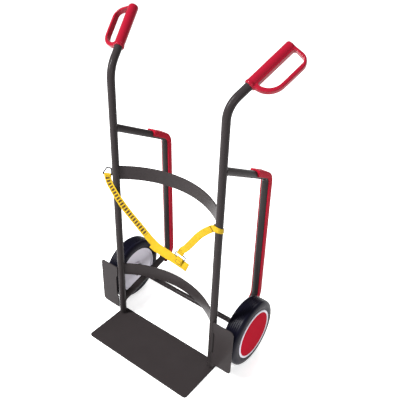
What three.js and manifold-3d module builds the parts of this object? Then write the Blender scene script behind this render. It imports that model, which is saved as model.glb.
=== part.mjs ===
// Two-wheeled hand truck with a bent-tube frame, a fixed toe plate, stair skids behind the wheels,
// guarded handle grips and a webbing load strap. Millimetres, +Z up, +X to the truck's right-hand
// wheel as seen from the load side, -Y towards the load. The origin lies on the underside of the
// toe plate, midway between the feet of the two uprights.

import * as THREE from 'three';
import { mergeVertices } from 'three/addons/utils/BufferGeometryUtils.js';
import Module from 'manifold-3d';

const wasm = await Module();
wasm.setup();

// ---------------------------------------------------------------- driving dimensions

const GAP = 0.3; // clearance between pieces that touch
const SIDES = [{ name: 'left', sign: -1 }, { name: 'right', sign: 1 }];

// tube stock
const TUBE_RADIUS = 13.45;
const TUBE_WALL = 2;
const TUBE_SIDES = 16;
const COPE_RADIUS = TUBE_RADIUS + GAP;

// toe plate
const TOE_WIDTH = 480;
const TOE_FRONT = -175;
const TOE_BACK = 27;
const TOE_THICKNESS = 5;
const TOE_CORNER = 12;
const FOOT_WELD = { reach: 3, height: 3 }; // fillet round each upright's foot

// uprights and their bent handles
const UPRIGHT_X = 224;
const STRAIGHT_TOP = 1007;
const HANDLE_BEND = 79;
const HANDLE_SPLAY = THREE.MathUtils.degToRad(20.9);
const HANDLE_LEAN = THREE.MathUtils.degToRad(55.4);
const HANDLE_TUBE = 203;

// rear frames: arm, skid member and foot, all in the plane of their upright
const ARM_ROOT_Z = 846;
const ARM_SLOPE = 0.51;
const MEMBER_Y = 266.4;
const MEMBER_LEAN = 0.0359;
const ARM_BEND = 40;
const FOOT_BEND = 46;

// wheels and axle
const WHEEL_RADIUS = 131;
const AXLE_Y = 129;
const AXLE_Z = WHEEL_RADIUS;
const AXLE_RADIUS = 10;
const AXLE_HALF = 308;
const FOOT_SLOPE = 0.24;
const TYRE_INNER = 258;
const TYRE_OUTER = 322;
const BEAD_RADIUS = 96.5;
const HUB_RADIUS = 25;
const HUB_START = 249;
const HUB_END = 300;
const BEARING_RADIUS = 21;
const BEARING_WIDTH = 12;
const CAP_RADIUS = 88.5;
const CAP_FACE = 324;
const CAP_LEDGE = 3.7; // depth of the rim's recess for the hub cap
const BEARING_INSET = 0.6; // of each bearing from its end of the hub
const BEARING_BACKING = 1; // room behind each bearing
const HUB_BORE_RADIUS = 15;
const COLLAR = { start: 240, radius: 14 };
const WASHER = { radius: 18, thickness: 1.8 };
const CLIP = { inset: 5.4, grooveWidth: 2, grooveDepth: 1, bite: 0.7, radius: 15 };
const WHEEL_SEGMENTS = 32;
const SMALL_SEGMENTS = 16;

// bowed cross bars
const BAR_THICKNESS = 5;
const BAR_HEIGHT = 53;
const UPPER_BAR = { z: 646, bow: 88 };
const LOWER_BAR = { z: 211, bow: 82 };

// wheel guard plates
const GUARD_Y = -14;
const GUARD_THICKNESS = 4;
const GUARD_INNER = 233.4;
const GUARD_OUTER = 319;
const GUARD_BOTTOM = 36;
const GUARD_TOP = 244;
const GUARD_CORNER = 14;
const GUARD_SLOT = { depth: 7.5, bottom: 92, top: 200 };

// stair skids
const SKID_HALF_WIDTH = 18.2;
const SKID_BACK = 18;
const SKID_LIP = -3.5;
const SKID_START_Y = 183;
const SKID_END_Y = 256;
const RIVET_HEIGHTS = [620, 440, 260];
const RIVET_RADIUS = 2.4;
const RIVET_HEAD = { radius: 5, height: 1.8 };

// handle grips, measured along the handle from the end of the bend
const GRIP = { start: 42, end: 211, radius: 16.9, collar: 18.4, collarEnd: 53 };
const LOOP = {
  width: 19,
  edge: 3.5,
  outline: [[0, 44], [75, 54.5], [76, 209], [0, 211]], // outwards from the tube, along the tube
  outlineCorners: [60, 35],
  window: [[16.4, 58], [65.5, 69], [65, 197.5], [16.4, 204]],
  windowCorners: [46, 14],
};
const LOOP_DROP = THREE.MathUtils.degToRad(12); // below level, about the handle's own axis

// load strap
const STRAP_WIDTH = 25;
const STRAP_THICKNESS = 2;
const HEM_LENGTH = { eye: 12, ring: 14, tab: 22 };
const EYE = {
  wire: 2.4, width: 34.5, topInset: 17.5, height: 27.5, bottom: 659, topCorner: 5,
  lowCorner: 2.4, turn: 0.42, strapShift: 1.7, // the strap lies towards the upright on its bar
};
const RING = {
  wire: 1.8, width: 42, topInset: 0, height: 13, corner: 4, x: 83, y: -17.2, z: 465.2,
  turn: 0.2, lean: 0.506, hemShift: -4, tabShift: 4, // along its bars
};
const LONG_RUN = [
  [-241.5, -16, 626.6], [-222, -19.5, 609], [-200, -20.5, 586], [-173, -19.5, 560],
  [-142, -18, 534], [-101, -19, 508], [-62, -20, 483], [-38, -21, 470], [-15, -22, 461.5],
  [18.5, -22, 456], [52, -22, 450.5], [85, -22, 444.5], [118, -22, 437.5],
];
const LONG_FACING = [0.45, -0.8, 0.4]; // the flat side below the eye's hem
const LONG_TWIST = 0.4; // share of the run over which it turns there
const DOUBLED = { points: 6, behind: 1.8, freeDrop: 11, foldDrop: 3.4 };
const SHORT_RUN = [
  [99.5, -8.5, 502], [115, -10, 524], [130, -12, 546], [156, -13.5, 584.5], [183, -15.5, 615.5],
];
const SHORT_TWIST = 0.15;
const CHOKER = {
  z: 632.5, tipX: -18, tipY: -14, height: 21, frontRise: 0.42, topFall: 0.22, lowFall: -0.14,
};

// ---------------------------------------------------------------- materials

function finish(color, roughness, metalness) {
  return () => new THREE.MeshStandardMaterial({ color, roughness, metalness });
}
const FRAME_PAINT = finish('#3b3838', 0.55, 0.3);
const RED_PLASTIC = finish('#bb1830', 0.4, 0);
const BLACK_PLASTIC = finish('#1b1b1e', 0.6, 0);
const TYRE_RUBBER = finish('#14141a', 0.8, 0);
const RIM_PLASTIC = finish('#cfcad4', 0.5, 0);
const BARE_STEEL = finish('#9a9c9f', 0.35, 0.9);
const BLACK_WIRE = finish('#151517', 0.4, 0.6);
const YELLOW_WEBBING = finish('#ebb814', 0.85, 0);

// ---------------------------------------------------------------- geometry helpers

const truck = new THREE.Group();

// One named sub-part. Its geometry is already where it belongs unless a parent group places it.
function piece(name, geometry, material, parent = truck) {
  const mesh = new THREE.Mesh(geometry, material());
  mesh.name = name;
  parent.add(mesh);
  return mesh;
}

// A route with rounded corners through the given points, sampled once per straight
// and several times per bend.
class BentRoute extends THREE.Curve {
  constructor(corners, radii, stepsPerBend = 6) {
    super();
    this.stations = [{ at: corners[0], along: corners[1].clone().sub(corners[0]).normalize() }];
    for (let i = 1; i < corners.length - 1; i += 1) {
      const before = corners[i].clone().sub(corners[i - 1]).normalize();
      const after = corners[i + 1].clone().sub(corners[i]).normalize();
      const turn = before.angleTo(after);
      const setback = radii[i - 1] * Math.tan(turn / 2);
      const axis = before.clone().cross(after).normalize();
      const start = corners[i].clone().addScaledVector(before, -setback);
      const inward = axis.clone().cross(before).normalize();
      const centre = start.clone().addScaledVector(inward, radii[i - 1]);
      for (let k = 0; k <= stepsPerBend; k += 1) {
        const angle = (turn * k) / stepsPerBend;
        const spoke = start.clone().sub(centre).applyAxisAngle(axis, angle);
        this.stations.push({
          at: centre.clone().add(spoke),
          along: before.clone().applyAxisAngle(axis, angle),
        });
      }
    }
    const last = corners.length - 1;
    const end = corners[last].clone().sub(corners[last - 1]).normalize();
    this.stations.push({ at: corners[last], along: end });
  }

  get steps() {
    return this.stations.length - 1;
  }

  getPointAt(u, target = new THREE.Vector3()) {
    return target.copy(this.stations[Math.round(u * this.steps)].at);
  }

  getTangentAt(u, target = new THREE.Vector3()) {
    return target.copy(this.stations[Math.round(u * this.steps)].along);
  }
}

function sweep(section, route) {
  return new THREE.ExtrudeGeometry(section, {
    steps: route.steps,
    extrudePath: route,
    curveSegments: TUBE_SIDES / 2,
  });
}

function disc(radius, hole = 0) {
  const shape = new THREE.Shape();
  shape.absarc(0, 0, radius, 0, Math.PI * 2);
  if (hole > 0) {
    const inside = new THREE.Path();
    inside.absarc(0, 0, hole, 0, Math.PI * 2);
    shape.holes.push(inside);
  }
  return shape;
}

function tubeSection() {
  return disc(TUBE_RADIUS, TUBE_RADIUS - TUBE_WALL);
}

// Bare positions with shared vertices and no collapsed triangles.
function welded(geometry) {
  const bare = geometry.clone();
  bare.deleteAttribute('normal');
  bare.deleteAttribute('uv');
  const merged = mergeVertices(bare, 1e-4);
  const index = merged.index.array;
  const kept = [];
  for (let i = 0; i < index.length; i += 3) {
    const [a, b, c] = [index[i], index[i + 1], index[i + 2]];
    if (a !== b && b !== c && c !== a) {
      kept.push(a, b, c);
    }
  }
  merged.setIndex(kept);
  return merged;
}

// The welded geometry with its faces turned outwards.
function closed(geometry) {
  const bare = welded(geometry);
  const at = bare.attributes.position;
  const index = Array.from(bare.index.array);
  const corner = [new THREE.Vector3(), new THREE.Vector3(), new THREE.Vector3()];
  let volume = 0;
  for (let i = 0; i < index.length; i += 3) {
    corner.forEach((v, k) => v.fromBufferAttribute(at, index[i + k]));
    volume += corner[0].dot(corner[1].clone().cross(corner[2]));
  }
  if (volume < 0) {
    for (let i = 0; i < index.length; i += 3) {
      [index[i + 1], index[i + 2]] = [index[i + 2], index[i + 1]];
    }
  }
  bare.setIndex(index);
  bare.computeVertexNormals();
  return bare;
}

function toSolid(geometry) {
  const bare = closed(geometry);
  return new wasm.Manifold(new wasm.Mesh({
    numProp: 3,
    vertProperties: new Float32Array(bare.attributes.position.array),
    triVerts: new Uint32Array(bare.index.array),
  }));
}

function toGeometry(solid) {
  const mesh = solid.getMesh();
  const geometry = new THREE.BufferGeometry();
  geometry.setAttribute('position', new THREE.BufferAttribute(mesh.vertProperties, 3));
  geometry.setIndex(new THREE.BufferAttribute(mesh.triVerts, 1));
  geometry.computeVertexNormals();
  return geometry;
}

// body without each of the tools
function cut(body, ...tools) {
  return toGeometry(tools.reduce((rest, tool) => rest.subtract(toSolid(tool)), toSolid(body)));
}

function join(...bodies) {
  return toGeometry(bodies.map(toSolid).reduce((sum, next) => sum.add(next)));
}

// An upright rod for cutting, its axis along +Z.
function post(radius, x, y, bottom, top, segments = 24) {
  const rod = new THREE.CylinderGeometry(radius, radius, top - bottom, segments);
  rod.rotateX(Math.PI / 2);
  rod.translate(x, y, (bottom + top) / 2);
  return rod;
}

// A ring or disc of revolution about the axle line. profile holds [radius, distance from the
// truck's mid-plane] pairs for one wheel; sign picks the side.
function turned(profile, sign, segments = WHEEL_SEGMENTS) {
  const points = profile.map(([r, x]) => new THREE.Vector2(r, x));
  points.push(points[0].clone());
  const body = new THREE.LatheGeometry(points, segments);
  body.rotateZ((-sign * Math.PI) / 2);
  body.translate(0, AXLE_Y, AXLE_Z);
  return closed(body);
}

function collar(inner, outer, start, end) {
  return [[inner, start], [outer, start], [outer, end], [inner, end]];
}

function inPlane(x, y, z) {
  return new THREE.Vector3(x, y, z);
}

// ---------------------------------------------------------------- toe plate

function toePlate() {
  const half = TOE_WIDTH / 2;
  const outline = new THREE.Shape();
  outline.moveTo(-half, TOE_BACK);
  outline.lineTo(-half, TOE_FRONT + TOE_CORNER);
  outline.absarc(-half + TOE_CORNER, TOE_FRONT + TOE_CORNER, TOE_CORNER, Math.PI, 1.5 * Math.PI);
  outline.absarc(half - TOE_CORNER, TOE_FRONT + TOE_CORNER, TOE_CORNER, 1.5 * Math.PI, 0);
  outline.lineTo(half, TOE_BACK);
  const plate = new THREE.ExtrudeGeometry(outline, {
    depth: TOE_THICKNESS,
    bevelEnabled: false,
    curveSegments: 4,
  });
  return join(plate, ...SIDES.map(({ sign }) => footWeld(sign)));
}

// The fillet weld on the plate round an upright's foot.
function footWeld(sign) {
  const { reach, height } = FOOT_WELD;
  const sunk = 1;
  const profile = [
    [COPE_RADIUS, -sunk],
    [COPE_RADIUS + reach, -sunk],
    [COPE_RADIUS + reach, 0.4],
    [COPE_RADIUS + 0.5, height],
    [COPE_RADIUS, height],
    [COPE_RADIUS, -sunk],
  ];
  const fillet = new THREE.LatheGeometry(profile.map(([r, z]) => new THREE.Vector2(r, z)), 24);
  fillet.rotateX(Math.PI / 2);
  fillet.translate(sign * UPRIGHT_X, 0, TOE_THICKNESS);
  return fillet;
}

// ---------------------------------------------------------------- uprights

const uprightFoot = TOE_THICKNESS + GAP;

// Direction of the handle's straight end, and the point where its bend ends.
function handleLine(sign) {
  const level = new THREE.Vector3(sign * Math.sin(HANDLE_SPLAY), Math.cos(HANDLE_SPLAY), 0);
  const along = level.clone().multiplyScalar(Math.sin(HANDLE_LEAN));
  along.z = Math.cos(HANDLE_LEAN);
  const start = new THREE.Vector3(sign * UPRIGHT_X, 0, STRAIGHT_TOP);
  start.addScaledVector(level, HANDLE_BEND * (1 - Math.cos(HANDLE_LEAN)));
  start.z += HANDLE_BEND * Math.sin(HANDLE_LEAN);
  return { start, along };
}

function upright(sign) {
  const { start, along } = handleLine(sign);
  const x = sign * UPRIGHT_X;
  const corner = inPlane(x, 0, STRAIGHT_TOP + HANDLE_BEND * Math.tan(HANDLE_LEAN / 2));
  const tip = start.clone().addScaledVector(along, HANDLE_TUBE);
  const route = new BentRoute([inPlane(x, 0, uprightFoot), corner, tip], [HANDLE_BEND], 7);
  return closed(sweep(tubeSection(), route));
}

// ---------------------------------------------------------------- rear frames and skids

// Corners of the rear frame's centre line, from its upper weld to its lower weld. The axle lies on
// top of the two feet.
const memberY = (z) => MEMBER_Y + (710 - z) * MEMBER_LEAN;
const axleRest = (TUBE_RADIUS + AXLE_RADIUS + GAP) * Math.hypot(1, FOOT_SLOPE);
const footZ = (y) => AXLE_Z - axleRest + (y - AXLE_Y) * FOOT_SLOPE;
const armZ = (y) => ARM_ROOT_Z - y * ARM_SLOPE;
const MEMBER_FOOT_Y = 286.5;
const FRAME_CORNERS = [
  [0, armZ(0)],
  [memberY(armZ(MEMBER_Y)), armZ(MEMBER_Y)],
  [MEMBER_FOOT_Y, footZ(MEMBER_FOOT_Y)],
  [0, footZ(0)],
];

function frameRoute(x, startY, endY) {
  const corners = FRAME_CORNERS.map(([y, z]) => inPlane(x, y, z));
  corners[0].set(x, startY, armZ(startY));
  corners[3].set(x, endY, footZ(endY));
  return new BentRoute(corners, [ARM_BEND, FOOT_BEND], 5);
}

// Places something built along +Y at a height on the skid member, square to its back.
function onMember(geometry, x, z) {
  const placed = geometry.clone();
  placed.rotateX(Math.atan(MEMBER_LEAN));
  placed.translate(x, memberY(z), z);
  return placed;
}

function rivetHole(x, z) {
  const drill = new THREE.CylinderGeometry(RIVET_RADIUS + GAP, RIVET_RADIUS + GAP, 20, 10);
  drill.translate(0, TUBE_RADIUS + 4, 0);
  return onMember(drill, x, z);
}

function rearFrame(sign) {
  const x = sign * UPRIGHT_X;
  const tube = sweep(tubeSection(), frameRoute(x, 0, 0));
  const holes = RIVET_HEIGHTS.map((z) => rivetHole(x, z));
  return cut(tube, post(COPE_RADIUS, x, 0, 0, 1000), ...holes);
}

function skidSection() {
  const bore = TUBE_RADIUS + GAP;
  const rim = 3;
  const section = new THREE.Shape();
  section.moveTo(-SKID_HALF_WIDTH, SKID_LIP);
  section.lineTo(-bore, SKID_LIP);
  section.lineTo(-bore, 0);
  section.absarc(0, 0, bore, Math.PI, 0, true);
  section.lineTo(bore, SKID_LIP);
  section.lineTo(SKID_HALF_WIDTH, SKID_LIP);
  section.lineTo(SKID_HALF_WIDTH, SKID_BACK - rim);
  section.lineTo(SKID_HALF_WIDTH - rim, SKID_BACK);
  section.lineTo(-SKID_HALF_WIDTH + rim, SKID_BACK);
  section.lineTo(-SKID_HALF_WIDTH, SKID_BACK - rim);
  return section;
}

function skid(sign) {
  const x = sign * UPRIGHT_X;
  const channel = sweep(skidSection(), frameRoute(x, SKID_START_Y, SKID_END_Y));
  return cut(channel, ...RIVET_HEIGHTS.map((z) => rivetHole(x, z)));
}

// A domed rivet through the skid's back into the tube wall.
function skidRivet(sign, height) {
  const base = SKID_BACK + GAP;
  const profile = [
    [0, TUBE_RADIUS - TUBE_WALL - 2],
    [RIVET_RADIUS, TUBE_RADIUS - TUBE_WALL - 2],
    [RIVET_RADIUS, base],
    [RIVET_HEAD.radius, base],
    [RIVET_HEAD.radius * 0.7, base + RIVET_HEAD.height],
    [0, base + RIVET_HEAD.height],
  ];
  const rivet = new THREE.LatheGeometry(profile.map(([r, y]) => new THREE.Vector2(r, y)), 10);
  return closed(onMember(rivet, sign * UPRIGHT_X, height));
}

// ---------------------------------------------------------------- cross bars and guard plates

function crossBar({ z, bow }) {
  const radius = (UPRIGHT_X * UPRIGHT_X + bow * bow) / (2 * bow);
  const centreY = bow - radius;
  const half = Math.asin(UPRIGHT_X / radius);
  const plan = new THREE.Shape();
  const front = radius - BAR_THICKNESS;
  plan.absarc(0, centreY, radius, Math.PI / 2 - half, Math.PI / 2 + half);
  plan.absarc(0, centreY, front, Math.PI / 2 + half, Math.PI / 2 - half, true);
  const bar = new THREE.ExtrudeGeometry(plan, {
    depth: BAR_HEIGHT,
    bevelEnabled: false,
    curveSegments: 20,
  });
  bar.translate(0, 0, z);
  const ends = SIDES.map(({ sign }) => {
    const end = new THREE.BoxGeometry(40, 60, BAR_HEIGHT + 20);
    end.translate(sign * (UPRIGHT_X + 20), 0, z + BAR_HEIGHT / 2);
    return end;
  });
  const copes = SIDES.map(({ sign }) => post(COPE_RADIUS, sign * UPRIGHT_X, 0, z - 5, z + 65));
  return cut(bar, ...ends, ...copes);
}

function guardPlate(sign) {
  const outline = new THREE.Shape();
  const slotX = GUARD_INNER + GUARD_SLOT.depth;
  outline.moveTo(GUARD_INNER, GUARD_BOTTOM);
  outline.lineTo(GUARD_OUTER - GUARD_CORNER, GUARD_BOTTOM);
  outline.absarc(
    GUARD_OUTER - GUARD_CORNER, GUARD_BOTTOM + GUARD_CORNER, GUARD_CORNER, 1.5 * Math.PI, 0,
  );
  outline.absarc(
    GUARD_OUTER - GUARD_CORNER, GUARD_TOP - GUARD_CORNER, GUARD_CORNER, 0, Math.PI / 2,
  );
  outline.lineTo(GUARD_INNER, GUARD_TOP);
  outline.lineTo(GUARD_INNER, GUARD_SLOT.top);
  outline.lineTo(slotX, GUARD_SLOT.top - GUARD_SLOT.depth);
  outline.lineTo(slotX, GUARD_SLOT.bottom + GUARD_SLOT.depth);
  outline.lineTo(GUARD_INNER, GUARD_SLOT.bottom);
  const plate = new THREE.ExtrudeGeometry(outline, {
    depth: GUARD_THICKNESS,
    bevelEnabled: false,
    curveSegments: 4,
  });
  plate.rotateX(Math.PI / 2);
  plate.translate(0, GUARD_Y + GUARD_THICKNESS, 0);
  plate.scale(sign, 1, 1);
  return closed(plate);
}

// ---------------------------------------------------------------- axle and wheels

function axle() {
  const groove = AXLE_HALF - CLIP.inset;
  const bottom = AXLE_RADIUS - CLIP.grooveDepth;
  const chamfer = 1.5;
  const end = [
    [AXLE_RADIUS, groove],
    [bottom, groove],
    [bottom, groove + CLIP.grooveWidth],
    [AXLE_RADIUS, groove + CLIP.grooveWidth],
    [AXLE_RADIUS, AXLE_HALF - chamfer],
    [AXLE_RADIUS - chamfer, AXLE_HALF],
    [0, AXLE_HALF],
  ];
  const mirrored = end.map(([r, x]) => [r, -x]).reverse();
  return turned([...mirrored, ...end], 1, SMALL_SEGMENTS);
}

function rimProfile() {
  const web = [265, 271];
  const face = CAP_FACE;
  const ledge = CAP_FACE - CAP_LEDGE;
  const barrel = 91;
  return [
    [HUB_RADIUS + GAP, web[0]],
    [barrel, web[0]],
    [barrel + 2, TYRE_INNER + 1],
    [BEAD_RADIUS, TYRE_INNER + 1],
    [BEAD_RADIUS, face],
    [CAP_RADIUS + GAP, face],
    [CAP_RADIUS + GAP, ledge],
    [CAP_RADIUS - 4, ledge],
    [CAP_RADIUS - 4, ledge - 3],
    [barrel, ledge - 6],
    [barrel, web[1]],
    [HUB_RADIUS + GAP, web[1]],
  ];
}

function tyreProfile() {
  const bead = BEAD_RADIUS + GAP;
  const half = [
    [bead, 1],
    [112, 0],
    [121, 2],
    [128, 7.5],
    [WHEEL_RADIUS, 15],
  ];
  const inner = half.map(([r, inset]) => [r, TYRE_INNER + inset]);
  const outer = half.map(([r, inset]) => [r, TYRE_OUTER - inset]).reverse();
  return [...inner, ...outer];
}

function hubProfile() {
  const seat = BEARING_RADIUS + GAP;
  const seatDepth = BEARING_WIDTH + BEARING_BACKING;
  return [
    [seat, HUB_START],
    [HUB_RADIUS, HUB_START],
    [HUB_RADIUS, HUB_END],
    [seat, HUB_END],
    [seat, HUB_END - seatDepth],
    [HUB_BORE_RADIUS, HUB_END - seatDepth],
    [HUB_BORE_RADIUS, HUB_START + seatDepth],
    [seat, HUB_START + seatDepth],
  ];
}

function capProfile() {
  const back = CAP_FACE - CAP_LEDGE + GAP;
  return [
    [0, back],
    [CAP_RADIUS, back],
    [CAP_RADIUS, CAP_FACE - 1],
    [CAP_RADIUS - 3, CAP_FACE],
    [0, CAP_FACE],
  ];
}

function wheel({ name, sign }) {
  const running = AXLE_RADIUS + GAP;
  const ring = (start, end, outer) => {
    const profile = collar(running, outer, start, end);
    return turned(profile, sign, SMALL_SEGMENTS);
  };
  const inboard = HUB_START + BEARING_INSET;
  const outboard = HUB_END - BEARING_INSET;
  piece(`${name}_tyre`, turned(tyreProfile(), sign), TYRE_RUBBER);
  piece(`${name}_rim`, turned(rimProfile(), sign), RIM_PLASTIC);
  piece(`${name}_hub_cap`, turned(capProfile(), sign), RED_PLASTIC);
  piece(`${name}_hub`, turned(hubProfile(), sign, SMALL_SEGMENTS), BLACK_PLASTIC);
  piece(`${name}_inboard_bearing`, ring(inboard, inboard + BEARING_WIDTH, BEARING_RADIUS),
    BARE_STEEL);
  piece(`${name}_outboard_bearing`, ring(outboard - BEARING_WIDTH, outboard, BEARING_RADIUS),
    BARE_STEEL);
  const washer = WASHER.thickness;
  piece(`${name}_axle_collar`, ring(COLLAR.start, HUB_START - washer - 2 * GAP, COLLAR.radius),
    FRAME_PAINT);
  piece(`${name}_inner_washer`, ring(HUB_START - GAP - washer, HUB_START - GAP, WASHER.radius),
    BARE_STEEL);
  piece(`${name}_outer_washer`, ring(HUB_END + GAP, HUB_END + GAP + washer, WASHER.radius),
    BARE_STEEL);
  const groove = AXLE_HALF - CLIP.inset;
  const clip = collar(AXLE_RADIUS - CLIP.bite, CLIP.radius, groove + GAP,
    groove + CLIP.grooveWidth - GAP);
  piece(`${name}_axle_clip`, turned(clip, sign, SMALL_SEGMENTS), BARE_STEEL);
}

// ---------------------------------------------------------------- handle grips

// A four-cornered outline with its two outer corners rounded.
function roundedCorners(points, radii) {
  const route = new BentRoute(points.map(([x, z]) => inPlane(x, 0, z)), radii, 6);
  return route.stations.map(({ at }) => new THREE.Vector2(at.x, at.z));
}

// Built in the handle's own frame: +Z along the tube, +X to the outer side of the truck.
function gripGeometry() {
  const bore = TUBE_RADIUS + GAP;
  const { start, end, radius, collar: collarRadius, collarEnd } = GRIP;
  const sleeve = [
    [0, start],
    [collarRadius - 1.5, start],
    [collarRadius, start + 2],
    [collarRadius, collarEnd - 2],
    [radius, collarEnd],
    [radius, end - 5],
    [radius - 4, end],
    [0, end],
  ];
  const shell = new THREE.LatheGeometry(sleeve.map(([r, z]) => new THREE.Vector2(r, z)), 20);
  shell.rotateX(Math.PI / 2);
  const outline = new THREE.Shape(roundedCorners(LOOP.outline, LOOP.outlineCorners));
  const guard = new THREE.ExtrudeGeometry(outline, {
    depth: LOOP.width - 2 * LOOP.edge,
    bevelThickness: LOOP.edge,
    bevelSize: LOOP.edge,
    bevelOffset: -LOOP.edge,
    bevelSegments: 2,
  });
  guard.rotateX(Math.PI / 2);
  guard.translate(0, LOOP.width / 2 - LOOP.edge, 0);
  const opening = new THREE.Shape(roundedCorners(LOOP.window, LOOP.windowCorners));
  const window = new THREE.ExtrudeGeometry(opening, {
    depth: 2 * LOOP.width,
    bevelEnabled: false,
  });
  window.rotateX(Math.PI / 2);
  window.translate(0, LOOP.width, 0);
  const hollow = post(bore, 0, 0, start - 5, HANDLE_TUBE + GAP * 2, 20);
  return cut(join(shell, cut(guard, window)), hollow);
}

function handleGrip({ name, sign }) {
  const { start, along } = handleLine(sign);
  const outward = new THREE.Vector3(sign, 0, 0);
  outward.addScaledVector(along, -outward.dot(along)).normalize();
  outward.applyAxisAngle(along, sign * LOOP_DROP);
  const third = along.clone().cross(outward);
  const placement = new THREE.Group();
  placement.matrixAutoUpdate = false;
  placement.matrix.makeBasis(outward, third, along).setPosition(start);
  truck.add(placement);
  piece(`${name}_handle_grip`, gripGeometry(), RED_PLASTIC, placement);
}

// ---------------------------------------------------------------- load strap

// A webbing route: a smooth curve whose flat side turns from one facing to another over its
// first part and keeps that facing from there on.
class WebbingRoute extends THREE.Curve {
  constructor(points, startFacing, facing, turnPart) {
    super();
    this.line = new THREE.CatmullRomCurve3(points, false, 'centripetal');
    this.startFacing = startFacing;
    this.facing = facing;
    this.turnPart = turnPart;
  }

  getPoint(t, target = new THREE.Vector3()) {
    return this.line.getPoint(t, target);
  }

  computeFrenetFrames(segments) {
    const frames = { tangents: [], normals: [], binormals: [] };
    for (let i = 0; i <= segments; i += 1) {
      const u = i / segments;
      const tangent = this.getTangentAt(u);
      const share = Math.min(1, u / this.turnPart);
      const normal = this.startFacing.clone().lerp(this.facing, share);
      normal.addScaledVector(tangent, -normal.dot(tangent)).normalize();
      frames.tangents.push(tangent);
      frames.normals.push(normal);
      frames.binormals.push(tangent.clone().cross(normal));
    }
    return frames;
  }
}

function webbing(points, startFacing, facing, turnPart, steps) {
  const half = STRAP_WIDTH / 2;
  const t = STRAP_THICKNESS / 2;
  const section = new THREE.Shape();
  section.moveTo(-t, -half);
  section.lineTo(t, -half);
  section.lineTo(t, half);
  section.lineTo(-t, half);
  const route = new WebbingRoute(points, startFacing, facing, turnPart);
  return closed(new THREE.ExtrudeGeometry(section, { steps, extrudePath: route }));
}

// A wire ring in the XZ plane, with a butt gap in its straight leg. The other leg leans in by
// topInset at the top.
function wireRing({ wire, width, topInset, height }, topCorner, lowCorner) {
  const a = width / 2;
  const b = height / 2;
  const butt = 0.2;
  const corners = [
    inPlane(-a, 0, butt),
    inPlane(-a, 0, b),
    inPlane(a - topInset, 0, b),
    inPlane(a, 0, -b),
    inPlane(-a, 0, -b),
    inPlane(-a, 0, -butt),
  ];
  const radii = [topCorner, topCorner, lowCorner, lowCorner];
  const route = new BentRoute(corners, radii, 3);
  return closed(new THREE.ExtrudeGeometry(disc(wire), {
    steps: route.steps,
    extrudePath: route,
    curveSegments: 4,
  }));
}

// Webbing folded once round a wire bar and sewn to itself. The bar lies at barAt along across;
// the sewn tongue runs from it in the direction away.
function hem(wire, barAt, across, away, length) {
  const inner = wire + GAP;
  const outer = inner + STRAP_THICKNESS;
  const neck = outer + 3;
  const fold = new THREE.Shape();
  fold.moveTo(STRAP_THICKNESS, -length);
  fold.lineTo(STRAP_THICKNESS, -neck);
  fold.lineTo(outer, -1);
  fold.lineTo(outer, 0);
  fold.absarc(0, 0, outer, 0, Math.PI);
  fold.lineTo(-outer, -1);
  fold.lineTo(-STRAP_THICKNESS, -neck);
  fold.lineTo(-STRAP_THICKNESS, -length);
  const eyelet = new THREE.Path();
  eyelet.absarc(0, 0, inner, 0, Math.PI * 2);
  fold.holes.push(eyelet);
  const band = new THREE.ExtrudeGeometry(fold, {
    depth: STRAP_WIDTH,
    bevelEnabled: false,
    curveSegments: 6,
  });
  band.translate(0, 0, -STRAP_WIDTH / 2);
  const up = away.clone().negate();
  const basis = new THREE.Matrix4().makeBasis(up.clone().cross(across), up, across);
  band.applyMatrix4(basis.setPosition(barAt));
  return closed(band);
}

// The sewn loop that holds the short strap to the right upright, cut from a teardrop band to the
// strap's width along two slanted planes.
function choker() {
  const outer = COPE_RADIUS + STRAP_THICKNESS;
  const outline = (shape, scale) => {
    const tip = new THREE.Vector2(CHOKER.tipX * scale, CHOKER.tipY * scale);
    const radius = outer * scale;
    const spread = Math.acos(radius / tip.length());
    const toTip = Math.atan2(tip.y, tip.x);
    shape.moveTo(tip.x, tip.y);
    shape.absarc(0, 0, radius, toTip + spread, toTip - spread + 2 * Math.PI);
    shape.lineTo(tip.x, tip.y);
    return shape;
  };
  const teardrop = outline(new THREE.Shape(), 1);
  teardrop.holes.push(outline(new THREE.Path(), COPE_RADIUS / outer));
  const reach = 60;
  const band = new THREE.ExtrudeGeometry(teardrop, {
    depth: reach,
    bevelEnabled: false,
    curveSegments: 16,
  });
  band.translate(UPRIGHT_X, 0, CHOKER.z - reach / 2);
  const trims = [[-1, CHOKER.lowFall], [1, CHOKER.topFall]].map(([end, fall]) => {
    const slab = new THREE.BoxGeometry(reach * 2, reach * 2, reach);
    slab.translate(0, 0, end * (CHOKER.height + reach) / 2);
    slab.rotateX(-CHOKER.frontRise);
    slab.rotateY(fall);
    slab.translate(UPRIGHT_X, 0, CHOKER.z);
    return slab;
  });
  return cut(band, ...trims);
}

// The long strap's end is folded back behind it. The second layer slides down from the first
// towards its free end.
function backLayer(points, facing) {
  const front = points.slice(-DOUBLED.points);
  const last = front.length - 1;
  const run = front[last].clone().sub(front[0]).normalize();
  const outward = facing.clone().addScaledVector(run, -facing.dot(run)).normalize();
  const downward = run.clone().cross(outward).normalize();
  if (downward.z > 0) {
    downward.negate();
  }
  return front.map((at, i) => at.clone()
    .addScaledVector(outward, -DOUBLED.behind)
    .addScaledVector(downward, THREE.MathUtils.lerp(DOUBLED.freeDrop, DOUBLED.foldDrop, i / last)));
}

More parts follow.
